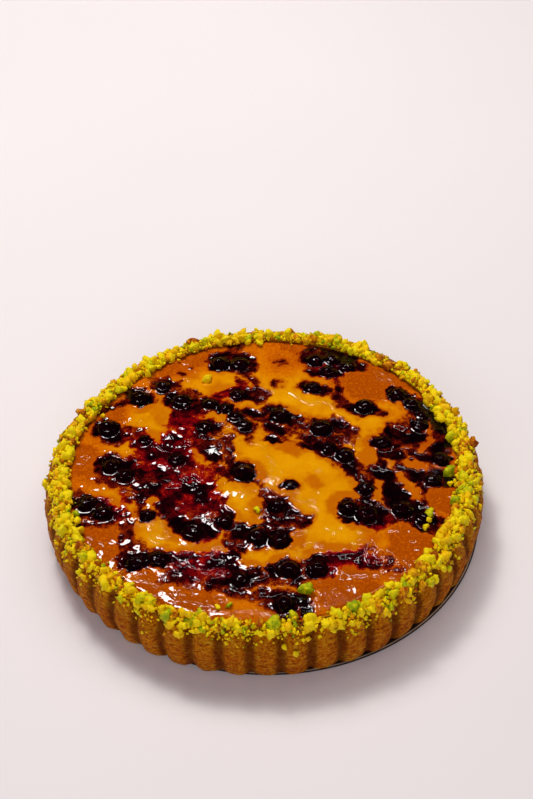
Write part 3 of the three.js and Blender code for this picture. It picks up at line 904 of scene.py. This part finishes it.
def filling_base(x, y):
    out = np.minimum(1, np.hypot(x, y) / POCKET_RADIUS)
    swell = np.sin(x / 17 + 1) * np.cos(y / 15) + np.sin((x + y) / 23 + 2)
    return FILLING_EDGE + FILLING_DOME * (1 - out ** 2) + FILLING_SWELLS * swell * (1 - out ** 4)


def filling_surface(x, y):
    """Height of the baked and glazed surface, with what its finish needs to know at each point."""
    amount, bleed = compote_amount(x, y)
    rough = smooth_step(amount, 0.45, 0.9)
    out = np.hypot(x, y) / POCKET_RADIUS
    height = filling_base(x, y)
    height -= COMPOTE_SINK * smooth_step(amount, 0.2, 0.8)
    height += 0.45 * np.abs(layered_cloud(x, y, 16, SEED + 60, 2)) * (1 - rough)
    height += rough * (0.2 * cloud(x, y, 6, SEED + 70) + 0.05 * cloud(x, y, 2.8, SEED + 71))
    height += 0.10 * cloud(x, y, 3.4, SEED + 80) + 0.28 * cloud(x, y, 8, SEED + 81)
    ripple = patch_mask(x, y, RIPPLES)
    for _, bx, by, bz, width, tall in BERRIES:
        gap = np.hypot(x - bx, y - by)
        near = gap < width / 2 + 6
        foot = width / 2 * 0.68
        rise = np.clip(bz + 0.73 * tall / 2 - height[near], 0.5, 3.2)
        dip = 0.6 * np.clip(1 - (gap[near] / foot) ** 2, 0, 1)
        height[near] += (rise - dip) * np.exp(-(np.maximum(gap[near] - foot, 0) / 1.9) ** 2)
    height -= 0.5 * smooth_step(out, 0.97, 1.0)
    outer = smooth_step(out + 0.12 * layered_cloud(x, y, 26, SEED + 95), 0.5, 1.0)
    toast = np.clip(patch_mask(x, y, BROWNED) + 0.8 * outer - 0.9 * patch_mask(x, y, PALE, 0.3), 0, 1)
    run, run_side = glaze_runs(x, y)
    return height, {
        "compote": amount, "bleed": bleed, "toast": toast, "ripple": ripple,
        "crimson": patch_mask(x, y, CRIMSON), "glaze_run": run, "glaze_run_side": run_side,
    }


def make_filling():
    spacing = 0.72
    radius = POCKET_RADIUS - GAP
    count = int(radius / spacing) + 2
    line = np.arange(-count, count + 1) * spacing
    gx, gy = np.meshgrid(line, line, indexing="ij")
    inside = np.hypot(gx, gy) < radius - 0.25 * spacing
    cell = inside[:-1, :-1] & inside[1:, :-1] & inside[1:, 1:] & inside[:-1, 1:]
    used = np.zeros(gx.shape, bool)
    for di in (0, 1):
        for dj in (0, 1):
            used[di:di + cell.shape[0], dj:dj + cell.shape[1]] |= cell
    index = -np.ones(gx.shape, int)
    index[used] = np.arange(used.sum())
    i, j = np.nonzero(cell)
    quads = np.stack((index[i, j], index[i + 1, j], index[i + 1, j + 1], index[i, j + 1]), 1)
    x, y = gx[used].copy(), gy[used].copy()

    edges = np.concatenate([quads[:, (k, (k + 1) % 4)] for k in range(4)])
    _, first, times = np.unique(np.sort(edges, 1), axis=0, return_index=True, return_counts=True)
    follows = {a: b for a, b in edges[first[times == 1]].tolist()}
    loop = [next(iter(follows))]
    while follows[loop[-1]] != loop[0]:
        loop.append(follows[loop[-1]])
    rim = np.array(loop)
    angle = np.arctan2(y[rim], x[rim])
    x[rim], y[rim] = radius * np.cos(angle), radius * np.sin(angle)

    height, marks = filling_surface(x, y)
    angle = np.arctan2(y, x)
    squeeze = 1 - flat_spot(angle) / radius * smooth_step(np.hypot(x, y), 60, radius)
    top = np.stack((x * squeeze, y * squeeze, height), 1)
    points, faces = [top], quads.tolist()
    levels = ((1.0, FILLING_EDGE - 5), (0.985, POCKET_FLOOR + 4), (0.975, POCKET_FLOOR + GAP))
    previous, total = rim, len(top)
    for share, level in levels:
        ring = top[rim] * (share, share, 0) + (0, 0, level)
        points.append(ring)
        here = np.arange(total, total + len(rim))
        after, before = np.roll(here, -1), np.roll(previous, -1)
        faces += np.stack((here, after, before, previous), 1).tolist()
        previous, total = here, total + len(rim)
    points.append(np.array([(0, 0, levels[-1][1])]))
    faces += [(total, int(b), int(a)) for a, b in zip(previous, np.roll(previous, -1))]
    extra = total + 1 - len(top)

    marks = {key: np.concatenate((values, np.zeros(extra))) for key, values in marks.items()}
    piece = new_object("almond_filling", np.concatenate(points) * MM, faces, marks)
    return seat(piece, "filling", "filling", finish=filling_finish())


def berry_form(seed, around=30, levels=20):
    """A cooked berry about 1 across: a little lopsided, either smooth with a dimple or beaded all over."""
    rng = np.random.default_rng(seed)
    tilt = np.linspace(0, math.pi, levels + 1)[1:-1]
    turn = np.arange(around) * 2 * math.pi / around
    t, a = np.meshgrid(tilt, turn, indexing="ij")
    unit = np.stack((np.sin(t) * np.cos(a), np.sin(t) * np.sin(a), np.cos(t)), -1).reshape(-1, 3)
    unit = np.concatenate(([(0, 0, 1)], unit, [(0, 0, -1)]))
    swell = np.zeros(len(unit))
    for wave in (1.5, 2.6, 4.5):
        aim = rng.normal(size=3) * wave
        swell += 0.11 / wave * np.sin(unit @ aim + rng.uniform(0, 6))
    if rng.random() < BEADED_SHARE:
        k = np.arange(BEADS) + 0.5
        rise, spin = 1 - 2 * k / BEADS, k * math.pi * (1 + 5 ** 0.5) + rng.uniform(0, 6)
        beads = np.stack((*(np.sqrt(1 - rise ** 2) * (np.cos(spin), np.sin(spin))), rise), 1)
        nearest = np.arccos(np.clip(unit @ beads.T, -1, 1)).min(1)
        swell += 0.13 * np.sqrt(np.clip(1 - (nearest / 0.36) ** 2, 0, 1)) - 0.09
    else:
        crown = rng.normal(size=3) + (0, 0, 0.8)
        near = unit @ (crown / np.linalg.norm(crown))
        dimple = rng.uniform(0.04, 0.12)
        swell += 0.5 * dimple * smooth_step(near, 0.80, 0.90) - 1.6 * dimple * smooth_step(near, 0.90, 0.985)
    points = unit * (1 + swell)[:, None] / 2
    faces = []
    for i in range(around):
        nxt = (i + 1) % around
        faces.append((0, 1 + i, 1 + nxt))
        for level in range(levels - 2):
            low, high = 1 + level * around, 1 + (level + 1) * around
            faces.append((low + nxt, low + i, high + i, high + nxt))
        last = 1 + (levels - 2) * around
        faces.append((last + nxt, last + i, len(points) - 1))
    return points, faces


def make_berries():
    points, faces, total = [], [], 0
    for k, (_, x, y, z, width, tall) in enumerate(BERRIES):
        form, form_faces = berry_form(SEED * 100 + k)
        scaled = form * (width * 1.02, width * 1.02, tall)
        points.append(scaled + (x, y, z))
        faces += [tuple(total + v for v in face) for face in form_faces]
        total += len(form)
    piece = new_object("whole_berries", np.concatenate(points) * MM, faces)
    names = [berry[0] for berry in BERRIES]
    return seat(piece, "berry", *names, finish=berry_finish())


def nut_edge(angle):
    """Radius of the nuts' inner edge and their share of spill at each angle.

    The band is narrow in front, where it spills down the wall, and wide at the right.
    """
    def near(degrees, spread):
        off = (np.degrees(angle) - degrees + 180) % 360 - 180
        return np.exp(-((off / spread) ** 2))
    inner = 111 + 4 * near(-80, 60) - 3 * near(-10, 20)
    spill = 0.3 + 0.6 * np.maximum(near(-80, 60), near(140, 25))
    return inner, spill


def nut_bed():
    """The ground that chopped nuts lie on: the filling's margin, the heap on the rim and the top of the wall.

    In front they spill down the wall; where they spill less, they stop short of its edge.
    """
    steps = 900
    rows = (
        (107, FILLING_EDGE + 0.1, 0.03, 0, 0), (109, FILLING_EDGE + 0.2, 0.2, 0, 0), (110.6, RIM + 0.1, 0.7, 0, 0),
        (112, RIM + 0.9, 1, 0, 0), (113.6, RIM + 1.7, 1, 0, 0), (115.2, RIM + 2.0, 1, 0, 0),
        (116.8, RIM + 1.6, 0.95, 0.2, 0.1), (118.2, RIM + 0.8, 0.9, 0.6, 0.3), (119.6, RIM + 0.1, 0.85, 0.9, 0.6),
        (120.8, RIM - 1.2, 0.7, 1, 0.9), (121.9, RIM - 3, 0.5, 1, 1), (122.9, RIM - 5, 0.28, 1, 1),
        (123.9, RIM - 7.5, 0.1, 1, 1), (124.6, RIM - 11, 0.0, 1, 1),
    )
    angle = np.arange(steps) * 2 * math.pi / steps
    back = smooth_step(np.sin(angle), 0.1, 0.8)
    inner, spill = nut_edge(angle)
    points, cover, size = [], [], []
    for radius, height, share, fluted, held in rows:
        here = radius - flat_spot(angle) - fluted * FLUTE_DEPTH * flute_valley(angle)
        x, y = here * np.cos(angle), here * np.sin(angle)
        lumps = layered_cloud(x * 1.3, y * 1.3, 9, SEED + 120)
        heap = (max(height - RIM, 0) + 1.1 * lumps * (111 < radius < 118)) * (1 - 0.6 * back)
        points.append(np.stack((x, y, min(height, RIM) + heap), 1))
        patchy = share + (0.5 * lumps if share < 0.97 else 0.1 * lumps) * min(1, 4 * share)
        reach = 0.05 + 0.95 * smooth_step(radius - inner + 1.5 * lumps, -1.5, 1.5)
        cover.append(np.clip(patchy, 0, 1) * reach * (1 - held * (1 - spill)))
        size.append((1.0 if radius < 120 else 0.7) * (1 - 0.1 * back))
    return np.concatenate(points), ring_faces(len(rows), steps), np.concatenate(cover), np.concatenate(size)


def make_nut_core():
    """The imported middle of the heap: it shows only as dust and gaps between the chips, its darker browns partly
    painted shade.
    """
    steps = 720
    section = (
        (110.2, RIM + 0.3), (114, RIM + 0.3), (119.6, RIM + 0.3), (118.4, RIM + 0.8),
        (116.6, RIM + 1.4), (114.8, RIM + 1.7), (112.6, RIM + 1.3), (110.8, RIM + 0.7),
    )
    angle = np.arange(steps) * 2 * math.pi / steps
    back = smooth_step(np.sin(angle), 0.1, 0.8)
    inner, _ = nut_edge(angle)
    points = []
    for radius, height in section:
        here = (np.maximum(radius, inner + radius - 110) if radius < 114 else radius) - flat_spot(angle)
        x, y = here * np.cos(angle), here * np.sin(angle)
        grit = 0.5 * cloud(x, y, 2.2, SEED + 130) + 0.7 * layered_cloud(x * 1.3, y * 1.3, 9, SEED + 120)
        top = (height - RIM - 0.3 + (grit if height - RIM > 0.5 else 0)) * (1 - 0.5 * back)
        points.append(np.stack((x, y, RIM + 0.3 + top), 1))
    faces = ring_faces(len(section), steps, closed=True)
    piece = new_object("nut_heap_core", np.concatenate(points) * MM, faces)
    form = bmesh.new()
    form.from_mesh(piece.data)
    bmesh.ops.recalc_face_normals(form, faces=form.faces)
    form.to_mesh(piece.data)
    form.free()
    return seat(piece, "pistachio", "pistachio_band", finish=nut_dust_and_gap_shade_finish())


def make_nut_chips(tree, finish):
    points, faces, cover, size = nut_bed()
    for name, count, fineness, squash, spacing, smallest, largest, favour, lift, seed in (
        ("pistachio_pieces", 9, 2, (0.6, 0.95), 2.3, 2.6, 7.8, 1.8, 0.2, 3),
        ("pistachio_crumbs", 6, 1, (0.55, 0.95), 1.3, 1.2, 3.2, 1.4, 0.5, 4),
        ("pistachio_dust", 3, 1, (0.6, 0.9), 1.9, 0.4, 1.1, 1.3, 1.0, 5),
    ):
        shelf = chip_collection(name + "_forms", count, fineness, squash, 0.62, SEED + seed)
        bed = new_object(name + "_bed", points * MM, faces, {"cover": cover, "bit_size": size})
        piece = run_tree(name, bed, tree, {
            "Chips": shelf, "Finish": finish, "Spacing": spacing * MM, "Most per square metre": 1.2e6,
            "Smallest": smallest * MM, "Largest": largest * MM, "Small ones favoured": favour,
            "Lift": lift, "Seed": seed,
        })
        for chip in list(shelf.objects):
            bpy.data.objects.remove(chip)
        bpy.data.collections.remove(shelf)
        seat(piece, "pistachio")


def make_strays(finish):
    """The few bits of nut that fell on the filling."""
    rng = np.random.default_rng(SEED + 9)
    points, faces, tints = [], [], []
    for x, y, length in STRAYS:
        form = craggy_chip(rng, 2, (0.5, 0.8), 0.6)
        turn = Matrix.Rotation(rng.uniform(0, 2 * math.pi), 4, "Z") @ Matrix.Rotation(rng.uniform(-0.3, 0.3), 4, "X")
        rest = float(filling_base(np.array([x]), np.array([y]))[0]) + 0.28 * length
        first = len(points)
        points += [turn @ (vertex.co * length) + Vector((x, y, rest)) for vertex in form.verts]
        faces += [[first + vertex.index for vertex in face.verts] for face in form.faces]
        tints += [rng.uniform(0.3, 1)] * len(form.verts)
        form.free()
    piece = new_object("stray_pistachios", np.array(points) * MM, faces, {"tint": tints})
    return seat(piece, "pistachio", finish=finish)


def make_tin_base():
    radius = (TIN_HIGH.x - TIN_LOW.x) / 2 / MM
    thickness = TIN_HIGH.z / MM
    middle = (TIN_LOW + TIN_HIGH) / 2
    edge = thickness / 2
    section = [(0, 0), (radius * 0.5, 0), (radius - edge, 0)]
    for turn in np.radians((-60, -30, 0, 30, 60)):
        section.append((radius - edge + edge * math.cos(turn), edge + edge * math.sin(turn)))
    section += [(radius - inset, thickness) for inset in (edge, 1, 2)]
    section += [(radius - 3, thickness - 0.12), (radius - 12, thickness - 0.12), (0, thickness - 0.12)]
    points, faces = turn_section(section, 180)
    to_edge = radius - np.hypot(points[:, 0], points[:, 1])
    points = points * MM + (middle.x, middle.y, 0)
    return seat(new_object("tin_disc", points, faces, {"to_edge": to_edge}), "tin", "tin_base", finish=tin_finish())


# ---- Stage --------------------------------------------------------------------------------------


def make_camera():
    data = bpy.data.cameras.new("camera")
    data.lens = LENS
    data.sensor_width = 36
    rise, roll = math.radians(CAMERA_RISE), math.radians(CAMERA_ROLL)
    back = Vector((0, -math.cos(rise), math.sin(rise)))
    right, up = Vector((1, 0, 0)), back.cross(Vector((1, 0, 0)))
    leaning_right = right * math.cos(roll) + up * math.sin(roll)
    leaning_up = up * math.cos(roll) - right * math.sin(roll)
    camera = bpy.data.objects.new("camera", data)
    turn = Matrix((leaning_right, leaning_up, back)).transposed().to_4x4()
    camera.matrix_world = Matrix.Translation(Vector(CAMERA_AIM) + back * CAMERA_DISTANCE) @ turn
    bpy.context.scene.collection.objects.link(camera)
    bpy.context.scene.camera = camera


def add_softbox(name, azimuth, elevation, distance, size, power, colour=(1, 1, 1), shines=True):
    """An oblong light that looks at the tart. Azimuth 0 is right of it and 90 behind it; shines: the glaze shows it."""
    data = bpy.data.lights.new(name, "AREA")
    data.shape = "RECTANGLE"
    data.size, data.size_y = size
    data.energy = power
    data.color = colour
    a, e = math.radians(azimuth), math.radians(elevation)
    way = Vector((math.cos(a) * math.cos(e), math.sin(a) * math.cos(e), math.sin(e)))
    box = bpy.data.objects.new(name, data)
    box.location = way * distance
    box.rotation_euler = way.to_track_quat("Z", "Y").to_euler()
    box.visible_glossy = shines
    bpy.context.scene.collection.objects.link(box)


def make_stage():
    floor = new_object("floor", [(-4, -4, 0), (4, -4, 0), (4, 4, 0), (-4, 4, 0)], [(0, 1, 2, 3)], smooth=False)
    floor.data.materials.append(floor_finish())
    world = bpy.data.worlds.new("studio")
    world.use_nodes = True
    world.node_tree.nodes["Background"].inputs["Color"].default_value = (0.86, 0.84, 1.0, 1)
    world.node_tree.nodes["Background"].inputs["Strength"].default_value = 0.2
    bpy.context.scene.world = world
    world.cycles_visibility.glossy = False
    add_softbox("key", 113, 59, 1.6, (0.24, 0.24), 5, (1.0, 0.98, 0.97))
    add_softbox("soft_key", 110, 58, 1.7, (0.7, 0.7), 14, (1.0, 0.985, 0.975), shines=False)
    add_softbox("strip", 92, 60, 1.6, (1.2, 0.012), 1.5, (1.0, 0.99, 0.98))
    add_softbox("side", 42, 60, 1.6, (0.8, 0.8), 3.8, (1.0, 0.93, 0.86), shines=False)
    add_softbox("front_fill", -100, 28, 1.8, (1.2, 0.8), 10, (0.99, 0.93, 1.0), shines=False)
    bpy.context.scene.view_settings.view_transform = "Standard"


make_camera()
make_stage()
make_tin_base()
make_crust()
make_filling()
make_berries()
make_nut_core()
nuts = pistachio_finish()
make_nut_chips(scatter_tree(), nuts)
make_strays(nuts)
